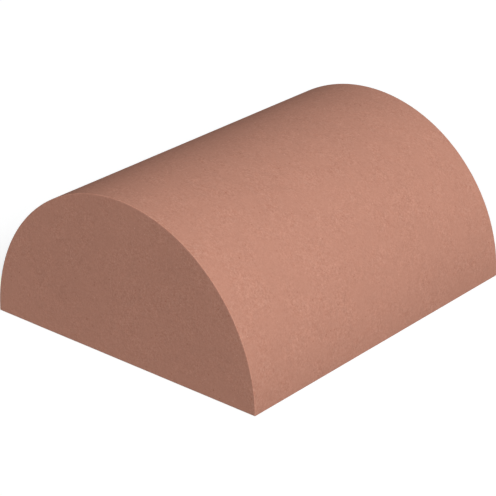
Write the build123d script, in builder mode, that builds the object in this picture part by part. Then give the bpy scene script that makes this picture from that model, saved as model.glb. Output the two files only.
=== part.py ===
"""Half-round clay ridge tile with a block end, standing on its bed face.

Millimetres, +Z up. The origin is the middle of the bed face. The tile runs along Y: the block
end closes it at -Y, and at +Y its mouth is open, where the next tile of the ridge butts on.
"""

import os

from build123d import *

# Driving dimensions
tile_length = 300.0  # along the ridge, block end included
outer_radius = 129.0  # the outside is one true half round, so it stands as high as this
barrel_wall = 14.0
block_end_wall = 15.0
luting_radius = 9.0  # clay wiped into the corner where the block end joins the barrel
arris_radius = 0.5  # every outer edge, crisp, as the die and the cutting wire leave it

# Worked out from the driving dimensions
inner_radius = outer_radius - barrel_wall
block_end_y = -tile_length / 2
hollow_y = block_end_y + block_end_wall
mouth_y = tile_length / 2


def section_plane(y):
    """The upright plane across the tile at y. Its normal points at the block end."""
    return Plane.XZ.offset(-y)


def half_disc(radius):
    """A half disc that stands on its diameter, in the sketch it is called from."""
    with BuildLine() as outline:
        Line((-radius, 0), (radius, 0))
        CenterArc((0, 0), radius, 0, 180)
    make_face(outline.edges())


with BuildPart() as ridge_tile:
    # Barrel, from the block end to the mouth
    with BuildSketch(section_plane(block_end_y)):
        half_disc(outer_radius)
    extrude(amount=-tile_length)

    # Hollow, open below and at the mouth, that leaves the barrel's wall and the block end
    with BuildSketch(section_plane(hollow_y)):
        half_disc(inner_radius)
    extrude(amount=hollow_y - mouth_y, mode=Mode.SUBTRACT)

    # Luting, round the arch where the block end meets the barrel
    arches = ridge_tile.edges().filter_by(GeomType.CIRCLE)
    fillet(arches.filter_by_position(Axis.Y, hollow_y, hollow_y), luting_radius)

    # Arrises, round the block end's face, the mouth and the bed face
    block_end_face = ridge_tile.faces().sort_by(Axis.Y)[0]
    mouth_face = ridge_tile.faces().sort_by(Axis.Y)[-1]
    bed_face = ridge_tile.faces().sort_by(Axis.Z)[0]
    arrises = block_end_face.edges() + mouth_face.edges() + bed_face.edges()
    fillet(arrises, arris_radius)

ridge_tile.part.label = "ridge_tile"

os.makedirs("parts", exist_ok=True)
export_step(ridge_tile.part, "parts/ridge_tile.step")
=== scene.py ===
"""Looks of a half-round clay ridge tile with a block end.

The tile is one hollow piece of unglazed fired clay, rebuilt here as a fine mesh in the frame of
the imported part. Metres, +Z up, the block end at -Y and the open mouth at +Y.
"""

import math

import bmesh
import bpy
import numpy as np
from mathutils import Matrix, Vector, noise
from mathutils.geometry import delaunay_2d_cdt


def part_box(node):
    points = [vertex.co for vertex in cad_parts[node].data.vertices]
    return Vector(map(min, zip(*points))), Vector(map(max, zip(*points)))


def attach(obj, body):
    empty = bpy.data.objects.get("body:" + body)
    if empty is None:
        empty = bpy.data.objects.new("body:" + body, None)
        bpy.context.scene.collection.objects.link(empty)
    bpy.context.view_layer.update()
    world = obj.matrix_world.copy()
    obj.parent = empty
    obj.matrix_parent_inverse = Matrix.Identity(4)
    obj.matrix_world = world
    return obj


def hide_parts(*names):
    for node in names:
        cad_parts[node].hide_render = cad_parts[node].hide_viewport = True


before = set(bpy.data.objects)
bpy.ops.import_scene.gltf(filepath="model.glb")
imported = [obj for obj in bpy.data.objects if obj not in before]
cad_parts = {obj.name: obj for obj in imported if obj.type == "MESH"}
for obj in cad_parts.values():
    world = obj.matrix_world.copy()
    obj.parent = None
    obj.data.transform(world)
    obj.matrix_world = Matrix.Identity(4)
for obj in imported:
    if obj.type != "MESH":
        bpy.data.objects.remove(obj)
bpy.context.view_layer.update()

MM = 0.001

# The tile's form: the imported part's box, and the walls and rounds of its drawing
NODE_LOW, NODE_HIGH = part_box("ridge_tile")
BLOCK_Y = NODE_LOW[1]
MOUTH_Y = NODE_HIGH[1]
OUTER_R = NODE_HIGH[2]
BARREL_WALL = 14.0 * MM
BLOCK_WALL = 15.0 * MM
LUTING_R = 9.0 * MM
ARRIS_R = 0.5 * MM
INNER_R = OUTER_R - BARREL_WALL
HOLLOW_Y = BLOCK_Y + BLOCK_WALL
LUTING_RHO = INNER_R - LUTING_R
LUTING_Y = HOLLOW_Y + LUTING_R

# Mesh spacing, and the lines across an arris, measured from the sharp edge
ARC_STEP = 2.2 * MM
LENGTH_STEP = 4.0 * MM
FACE_STEP = 4.5 * MM
WALL_STEP = 2.5 * MM
FIELD_MARGIN = 0.6 * FACE_STEP
MERGE_REACH = 0.002 * MM
ROW_TOLERANCE = 0.001 * MM
FLAT_TOLERANCE = 1e-7
TINY = 1e-9
LUTING_STEPS = 9
ARRIS_LINES = np.array([0.0, 0.1, 0.24, 0.42, 0.65, 1.0, 1.8]) * ARRIS_R

# How the fired surface departs from its true form: slow waves, wear of the arrises, drag lines of
# the die along the hollow, and finger ripples round the luting
WAVE_DEPTH = 0.12 * MM
WAVE_SIZE = 45.0 * MM
WORN_DEPTH = 0.14 * MM
WORN_SIZE = 3.0 * MM
FULL_WEAR_SLANT = 0.2
DRAG_DEPTH = 0.3 * MM
DRAG_PER_RADIAN = 45.0
DRAG_PER_METRE = 4.0
WIPE_DEPTH = 0.5 * MM
WIPE_TURN = math.radians(9.0)
WIPE_SWING = 0.8
WIPE_SWING_PER_RADIAN = 2.5
HOLLOW_FADE = 12.0 * MM

# Clay: noise layers as (size of a feature, depth), coarse to fine
CLAY = (0.56, 0.27, 0.195)
CLOUD_LAYERS = [(45.0 * MM, 0.02), (18.0 * MM, 0.016)]
MOTTLE_LAYERS = [(7.0 * MM, 0.034), (3.5 * MM, 0.040)]
GRAIN_LAYERS = [(3.5 * MM, 0.008), (1.8 * MM, 0.046), (0.95 * MM, 0.057)]
GRAIN_TINT = (0.86, 0.74, 0.64)
LAYER_SHIFT = (0.31, 0.17, 0.53)
PATCH_SIZE = 16.0 * MM
PATCH_RANGE = (0.5, 1.4)
DARK_GRIT = {"size": 5.0 * MM, "share": 0.25, "radius": 0.13, "depth": 0.12}
PALE_GRIT = {"size": 4.3 * MM, "share": 0.25, "radius": 0.14, "depth": 0.10}
# Painted shade: lighter at the block end, darker at the mouth, for the key lamp's falloff
END_FALLOFF_SHADE = 0.02
GRAIN_SPAN = 0.05
ROUGHNESS_RANGE = (0.95, 0.85)
SHEEN_LEVEL = 0.05
BUMP_LAYERS = [(3.5 * MM, 1.0), (1.6 * MM, 0.6)]
BUMP_HEIGHT = 0.05 * MM

# Floor and lamps. Azimuth 0 is the block end's side and 90 is +X; the last value is the softness.
# The floor is shown nearly white, but throws back little light. The bounce comes up through it, as
# from a white floor, and reaches only the shaded side and the hollow.
FLOOR_REACH = 30.0
FLOOR_Z = -0.3 * MM
FLOOR_SHOWN = 0.5
FLOOR_BOUNCE = 0.09
FLOOR_LIFT = 0.68
LAMPS = {
    "key": (56.0, 35.0, math.pi * 1.015, 25.0),
    "fill": (181.0, 2.0, math.pi * 0.26, 8.0),
    "bounce": (245.0, -40.0, math.pi * 0.22, 60.0),
}
AMBIENT = 0.085
AMBIENT_COLOUR = (0.96, 1.06, 1.07, 1.0)
WHITE = (1.0, 1.0, 1.0, 1.0)

# Camera, at the photo's viewing angle
CAMERA_PLACE = (0.919787, -1.089643, 0.696417)
CAMERA_PITCH = 90.0 - 24.7706
CAMERA_TURN = 40.3142
CAMERA_LENS = 146.3
CAMERA_SENSOR = 36.0


def lines(low, high, step, arris_low=True, arris_high=True):
    """Values from low to high, about step apart, with arris lines at the ends that have one."""
    lead = ARRIS_LINES if arris_low else ARRIS_LINES[:1]
    tail = ARRIS_LINES if arris_high else ARRIS_LINES[:1]
    count = max(2, round((high - low) / step) + 1)
    middle = np.linspace(low + lead[-1], high - tail[-1], count)
    return np.concatenate([low + lead[:-1], middle, high - tail[-2::-1]])


# Lines that neighbouring patches share
ANGLES = lines(0.0, math.pi * OUTER_R, ARC_STEP) / OUTER_R
OUTER_YS = lines(BLOCK_Y, MOUTH_Y, LENGTH_STEP)
MOUTH_RHOS = lines(INNER_R, OUTER_R, WALL_STEP)
BLOCK_XS = lines(-OUTER_R, OUTER_R, FACE_STEP)
HOLLOW_XS = lines(-LUTING_RHO, LUTING_RHO, FACE_STEP, False, False)
HOLLOW_YS = lines(LUTING_Y, MOUTH_Y, LENGTH_STEP, False, True)
LUTING_TURNS = np.linspace(0.0, math.pi / 2, LUTING_STEPS)


def hollow_profile(offset=0.0):
    """The hollow's wall as (rho, y), from the mouth to the block end, moved into the clay."""
    barrel = [(INNER_R + offset, y) for y in HOLLOW_YS[::-1]]
    turn = LUTING_R + offset
    luting = [
        (LUTING_RHO + turn * math.cos(a), LUTING_Y - turn * math.sin(a))
        for a in LUTING_TURNS[1:]
    ]
    return np.array(barrel + luting)


def revolved(profile):
    """A grid of points: the profile's (rho, y) points turned through every shared angle."""
    rho, y = profile.T
    turned = [np.stack([rho * math.cos(a), y, rho * math.sin(a)], axis=1) for a in ANGLES]
    return np.array(turned)


def hollow_gap(rho, y):
    """Distance into the clay from the hollow's wall, and the way out of the clay as (rho, y)."""
    to_rho, to_y = LUTING_RHO - rho, LUTING_Y - y
    reach = np.maximum(np.hypot(to_rho, to_y), TINY)
    on_luting = (to_rho < 0) & (to_y > 0)
    on_barrel = to_y <= 0
    gap = np.where(on_luting, reach - LUTING_R, np.where(on_barrel, rho - INNER_R, HOLLOW_Y - y))
    out_rho = np.where(on_luting, to_rho / reach, np.where(on_barrel, -1.0, 0.0))
    out_y = np.where(on_luting, to_y / reach, np.where(on_barrel, 0.0, 1.0))
    return gap, out_rho, out_y


def round_arrises(points):
    """Moves points of the sharp-edged surface onto the arrises, and gives the surface's normals."""
    x, y, z = points.T
    rho = np.hypot(x, z)
    radial = np.stack([x, np.zeros_like(x), z], axis=1) / np.maximum(rho, TINY)[:, None]
    along = np.array([0.0, 1.0, 0.0])
    down = np.array([0.0, 0.0, -1.0])
    gap, out_rho, out_y = hollow_gap(rho, y)
    surfaces = [
        (z, down),
        (y - BLOCK_Y, -along),
        (MOUTH_Y - y, along),
        (OUTER_R - rho, radial),
        (gap, radial * out_rho[:, None] + along * out_y[:, None]),
    ]
    pull = sum(
        np.clip(ARRIS_R - depth, 0.0, ARRIS_R)[:, None] * normal
        for depth, normal in surfaces
    )
    normals = pull / np.linalg.norm(pull, axis=1)[:, None]
    return points - pull + normals * ARRIS_R, normals


class Shell:
    """The tile's surface, gathered patch by patch."""

    def __init__(self):
        self.points = []
        self.faces = []
        self.total = 0

    def add(self, points, faces):
        self.points.append(np.asarray(points))
        self.faces += [[i + self.total for i in face] for face in faces]
        self.total += len(points)

    def add_grid(self, grid):
        rows, columns = grid.shape[:2]
        corners = [(r * columns + c) for r in range(rows - 1) for c in range(columns - 1)]
        self.add(grid.reshape(-1, 3), [(a, a + 1, a + columns + 1, a + columns) for a in corners])

    def add_flat(self, outline, extra, gap, place):
        """A flat patch in an outline: extra points along its arrises, and a staggered field."""
        low, high = outline.min(axis=0), outline.max(axis=0)
        rise = FACE_STEP * math.sqrt(3) / 2
        field = np.array([
            (x + (row % 2) * FACE_STEP / 2, y)
            for row, y in enumerate(np.arange(low[1], high[1], rise))
            for x in np.arange(low[0], high[0], FACE_STEP)
        ])
        field = field[gap(*field.T) > ARRIS_LINES[-1] + FIELD_MARGIN]
        flat = [Vector(p) for p in np.concatenate([outline, extra, field])]
        ring = [(i, (i + 1) % len(outline)) for i in range(len(outline))]
        found, _, faces, *_ = delaunay_2d_cdt(flat, ring, [], 1, FLAT_TOLERANCE)
        self.add([place(*p) for p in found], faces)


def arris_rows(rows, gap):
    """Rows of points at the arris lines' depths, less those that lie nearer to another edge."""
    kept = []
    for depth, row in rows:
        row = np.array(row)
        kept.append(row[gap(*row.T) > depth - ROW_TOLERANCE])
    return np.concatenate(kept)


def half_disc(shell, radius, xs, y, rim_arris):
    """A half disc across the tile at y, bounded by the shared angles and by xs along its base."""
    def gap(x, z):
        return np.minimum(radius - np.hypot(x, z), z)

    arc = np.stack([np.cos(ANGLES), np.sin(ANGLES)], axis=1)
    base = np.stack([xs[1:-1], np.zeros(len(xs) - 2)], axis=1)
    rows = []
    for depth in ARRIS_LINES[1:]:
        if rim_arris:
            rows.append((depth, (radius - depth) * arc))
        rows.append((depth, base + [0.0, depth]))
    outline = np.concatenate([radius * arc, base])
    shell.add_flat(outline, arris_rows(rows, gap), gap, lambda x, z: (x, y, z))


def bed_face(shell):
    """The flat face that the tile stands on: the two feet and the block end's lower edge."""
    mirror = [-1.0, 1.0]

    def gap(x, y):
        inside = np.minimum(OUTER_R - np.abs(x), np.minimum(y - BLOCK_Y, MOUTH_Y - y))
        return np.minimum(inside, hollow_gap(np.abs(x), y)[0])

    def both_sides(points):
        return np.concatenate([points, points * mirror])

    hollow = hollow_profile()
    outer_side = np.stack([np.full(len(OUTER_YS), OUTER_R), OUTER_YS], axis=1)
    block_side = np.stack([BLOCK_XS, np.full(len(BLOCK_XS), BLOCK_Y)], axis=1)
    mouth_side = np.stack([MOUTH_RHOS, np.full(len(MOUTH_RHOS), MOUTH_Y)], axis=1)
    hollow_end = np.stack([HOLLOW_XS, np.full(len(HOLLOW_XS), HOLLOW_Y)], axis=1)
    outline = np.concatenate([
        block_side[:-1],
        outer_side[:-1],
        mouth_side[:0:-1],
        hollow[:-1],
        hollow_end[:0:-1],
        (hollow * mirror)[:0:-1],
        (mouth_side * mirror)[:-1],
        (outer_side * mirror)[:0:-1],
    ])
    rows = []
    for depth in ARRIS_LINES[1:]:
        rows.append((depth, both_sides(outer_side - [depth, 0.0])))
        rows.append((depth, block_side + [0.0, depth]))
        rows.append((depth, both_sides(mouth_side - [0.0, depth])))
        rows.append((depth, both_sides(hollow_profile(depth))))
        rows.append((depth, hollow_end - [0.0, depth]))
    shell.add_flat(outline, arris_rows(rows, gap), gap, lambda x, y: (x, y, 0.0))


def tile_surface():
    """Points and faces of the whole tile with sharp edges."""
    shell = Shell()
    shell.add_grid(revolved(np.stack([np.full(len(OUTER_YS), OUTER_R), OUTER_YS], axis=1)))
    shell.add_grid(revolved(hollow_profile()))
    shell.add_grid(revolved(np.stack([MOUTH_RHOS, np.full(len(MOUTH_RHOS), MOUTH_Y)], axis=1)))
    half_disc(shell, OUTER_R, BLOCK_XS, BLOCK_Y, rim_arris=True)
    half_disc(shell, LUTING_RHO, HOLLOW_XS, HOLLOW_Y, rim_arris=False)
    bed_face(shell)
    return np.concatenate(shell.points), shell.faces


def depth_below_form(point, normal):
    """How far the clay lies inside its true form at a point, so the tile stays within its box."""
    x, y, z = point
    place = Vector(point)
    depth = WAVE_DEPTH * (0.5 + 0.5 * noise.noise(place / WAVE_SIZE))
    slant = 1.0 - np.abs([normal[1], math.hypot(normal[0], normal[2])]).max()
    wear = min(1.0, slant / FULL_WEAR_SLANT) * max(0.0, noise.noise(place / WORN_SIZE))
    depth += WORN_DEPTH * wear
    rho = math.hypot(x, z)
    facing_in = normal[0] * x + normal[2] * z < 0.0
    room = min(z - 2 * ARRIS_R, MOUTH_Y - 2 * ARRIS_R - y)
    if facing_in and room > 0.0:
        angle = math.atan2(z, x)
        fade = min(1.0, room / HOLLOW_FADE)
        if y > LUTING_Y:
            drag = noise.noise(Vector((angle * DRAG_PER_RADIAN, y * DRAG_PER_METRE, 2.0)))
            depth += fade * DRAG_DEPTH * drag
        elif rho > LUTING_RHO:
            swing = WIPE_SWING * noise.noise(Vector((angle * WIPE_SWING_PER_RADIAN, 7.0, 0.0)))
            ripple = math.sin((angle / WIPE_TURN + swing) * math.pi)
            across = math.sin(math.pi * (rho - LUTING_RHO) / LUTING_R)
            depth += fade * across * WIPE_DEPTH * ripple
    return depth


def build_tile():
    """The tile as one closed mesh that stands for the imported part's node."""
    sharp, faces = tile_surface()
    points, normals = round_arrises(sharp)
    depths = np.array([depth_below_form(p, n) for p, n in zip(points, normals)])
    points = points - normals * depths[:, None]
    mesh = bpy.data.meshes.new("fired_tile")
    mesh.from_pydata([tuple(p) for p in points], [], faces)
    bm = bmesh.new()
    bm.from_mesh(mesh)
    bmesh.ops.remove_doubles(bm, verts=bm.verts, dist=MERGE_REACH)
    bmesh.ops.recalc_face_normals(bm, faces=bm.faces)
    bm.to_mesh(mesh)
    bm.free()
    mesh.polygons.foreach_set("use_smooth", [True] * len(mesh.polygons))
    tile = bpy.data.objects.new("fired_tile", mesh)
    bpy.context.scene.collection.objects.link(tile)
    tile.data.materials.append(fired_clay())
    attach(tile, "root")
    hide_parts("ridge_tile")


class Nodes:
    """Short calls for building the node tree of a material or a world."""

    def __init__(self, owner):
        owner.use_nodes = True
        self.tree = owner.node_tree
        self.tree.nodes.clear()

    def node(self, kind, inputs=(), **settings):
        made = self.tree.nodes.new(kind)
        for name, value in settings.items():
            setattr(made, name, value)
        for socket, value in dict(inputs).items():
            if isinstance(value, bpy.types.NodeSocket):
                self.tree.links.new(value, made.inputs[socket])
            else:
                made.inputs[socket].default_value = value
        return made

    def math(self, operation, *values):
        return self.node("ShaderNodeMath", enumerate(values), operation=operation).outputs[0]

    def scaled(self, vector, scale):
        inputs = {0: vector, "Scale": scale}
        return self.node("ShaderNodeVectorMath", inputs, operation="SCALE").outputs[0]

    def remap(self, value, low, high, to_low, to_high):
        inputs = {
            "Value": value, "From Min": low, "From Max": high, "To Min": to_low, "To Max": to_high,
        }
        return self.node("ShaderNodeMapRange", inputs).outputs["Result"]

    def noise(self, place, size):
        """Smooth noise between -1 and 1 with features of about the given size."""
        inputs = {"Vector": place, "Scale": 1.0 / size, "Detail": 0.0}
        value = self.node("ShaderNodeTexNoise", inputs).outputs["Fac"]
        return self.remap(value, 0.0, 1.0, -1.0, 1.0)

    def layers(self, place, layers):
        """The sum of noise layers, each given as its size and depth and shifted from the last."""
        total = None
        for k, (size, depth) in enumerate(layers):
            inputs = {0: place, 1: [k * shift for shift in LAYER_SHIFT]}
            shifted = self.node("ShaderNodeVectorMath", inputs).outputs[0]
            layer = self.math("MULTIPLY", self.noise(shifted, size), depth)
            total = layer if total is None else self.math("ADD", total, layer)
        return total

    def specks(self, place, grit):
        """1 on scattered specks, 0 between them."""
        inputs = {"Vector": place, "Scale": 1.0 / grit["size"]}
        cells = self.node("ShaderNodeTexVoronoi", inputs).outputs
        pick = self.node("ShaderNodeSeparateColor", {"Color": cells["Color"]}).outputs[0]
        near = self.remap(cells["Distance"], grit["radius"] * 0.5, grit["radius"], 1.0, 0.0)
        return self.math("MULTIPLY", self.math("LESS_THAN", pick, grit["share"]), near)


def fired_clay():
    """Unglazed clay: clouds, mottling, fine grain in patches, and scattered dark and pale grits."""
    material = bpy.data.materials.new("fired_clay")
    n = Nodes(material)
    place = n.node("ShaderNodeTexCoord").outputs["Object"]

    patch = n.remap(n.noise(place, PATCH_SIZE), -0.5, 0.5, *PATCH_RANGE)
    mottle = n.math("MULTIPLY", n.layers(place, MOTTLE_LAYERS), patch)
    grain = n.math("MULTIPLY", n.layers(place, GRAIN_LAYERS), patch)

    dark = n.math("MULTIPLY", n.specks(place, DARK_GRIT), DARK_GRIT["depth"])
    pale = n.math("MULTIPLY", n.specks(place, PALE_GRIT), PALE_GRIT["depth"])
    fine = n.math("ADD", grain, n.math("SUBTRACT", pale, dark))

    y = n.node("ShaderNodeSeparateXYZ", {0: place}).outputs["Y"]
    # Painted shade from the block end to the mouth, standing in for the key lamp's falloff
    painted_falloff_shade = n.remap(y, BLOCK_Y, MOUTH_Y, END_FALLOFF_SHADE, -END_FALLOFF_SHADE)
    broad = n.math("ADD", n.layers(place, CLOUD_LAYERS), painted_falloff_shade)
    broad = n.math("ADD", broad, mottle)
    toned = n.scaled(CLAY, n.math("ADD", broad, 1.0))
    colour = n.node("ShaderNodeVectorMath", {0: toned, 1: n.scaled(GRAIN_TINT, fine)}).outputs[0]

    relief = {"Strength": 1.0, "Distance": BUMP_HEIGHT, "Height": n.layers(place, BUMP_LAYERS)}
    shader = n.node("ShaderNodeBsdfPrincipled", {
        "Base Color": colour,
        "Roughness": n.remap(grain, -GRAIN_SPAN, GRAIN_SPAN, *ROUGHNESS_RANGE),
        "Specular IOR Level": SHEEN_LEVEL,
        "Normal": n.node("ShaderNodeBump", relief).outputs[0],
    })
    n.node("ShaderNodeOutputMaterial", {"Surface": shader.outputs[0]})
    return material


def seen_directly(n):
    """1 for rays of the camera, of gloss and of clear materials, which see a white background."""
    rays = n.node("ShaderNodeLightPath").outputs
    some = n.math("MAXIMUM", rays["Is Camera Ray"], rays["Is Glossy Ray"])
    return n.math("MAXIMUM", some, rays["Is Transmission Ray"])


def build_floor():
    """A pale floor just under the tile. It keeps the tile's shadow, and lets the bounce through."""
    mesh = bpy.data.meshes.new("floor")
    corners = [(-1, -1), (1, -1), (1, 1), (-1, 1)]
    points = [(x * FLOOR_REACH, y * FLOOR_REACH, FLOOR_Z) for x, y in corners]
    mesh.from_pydata(points, [], [(0, 1, 2, 3)])
    floor = bpy.data.objects.new("floor", mesh)
    bpy.context.scene.collection.objects.link(floor)
    material = bpy.data.materials.new("pale_floor")
    n = Nodes(material)
    seen = seen_directly(n)
    tone = n.remap(seen, 0.0, 1.0, FLOOR_BOUNCE, FLOOR_SHOWN)
    diffuse = n.node("ShaderNodeBsdfDiffuse", {"Color": tone})
    lift = n.node("ShaderNodeEmission", {"Strength": n.math("MULTIPLY", seen, FLOOR_LIFT)})
    both = n.node("ShaderNodeAddShader", {0: diffuse.outputs[0], 1: lift.outputs[0]})
    n.node("ShaderNodeOutputMaterial", {"Surface": both.outputs[0]})
    mesh.materials.append(material)
    floor.visible_shadow = False


def build_world():
    """Weak light from all round, shown as white."""
    world = bpy.data.worlds.new("studio")
    bpy.context.scene.world = world
    n = Nodes(world)
    shown = n.node("ShaderNodeBackground", {"Color": WHITE, "Strength": 1.0})
    light = n.node("ShaderNodeBackground", {"Color": AMBIENT_COLOUR, "Strength": AMBIENT})
    sides = {0: seen_directly(n), 1: light.outputs[0], 2: shown.outputs[0]}
    both = n.node("ShaderNodeMixShader", sides)
    n.node("ShaderNodeOutputWorld", {"Surface": both.outputs[0]})


def sun(name, azimuth, elevation, strength, softness):
    """A distant soft lamp that shines from the given direction."""
    light = bpy.data.lights.new(name, "SUN")
    light.energy = strength
    light.angle = math.radians(softness)
    lamp = bpy.data.objects.new(name, light)
    a, e = math.radians(azimuth), math.radians(elevation)
    toward = Vector((math.sin(a) * math.cos(e), -math.cos(a) * math.cos(e), math.sin(e)))
    lamp.rotation_euler = toward.to_track_quat("Z", "Y").to_euler()
    bpy.context.scene.collection.objects.link(lamp)


def build_camera():
    data = bpy.data.cameras.new("camera")
    data.sensor_width = CAMERA_SENSOR
    data.lens = CAMERA_LENS
    camera = bpy.data.objects.new("camera", data)
    camera.location = CAMERA_PLACE
    camera.rotation_euler = (math.radians(CAMERA_PITCH), 0.0, math.radians(CAMERA_TURN))
    bpy.context.scene.collection.objects.link(camera)
    bpy.context.scene.camera = camera


build_tile()
build_floor()
build_world()
for lamp_name, lamp_values in LAMPS.items():
    sun(lamp_name, *lamp_values)
build_camera()
bpy.context.scene.view_settings.view_transform = "Standard"
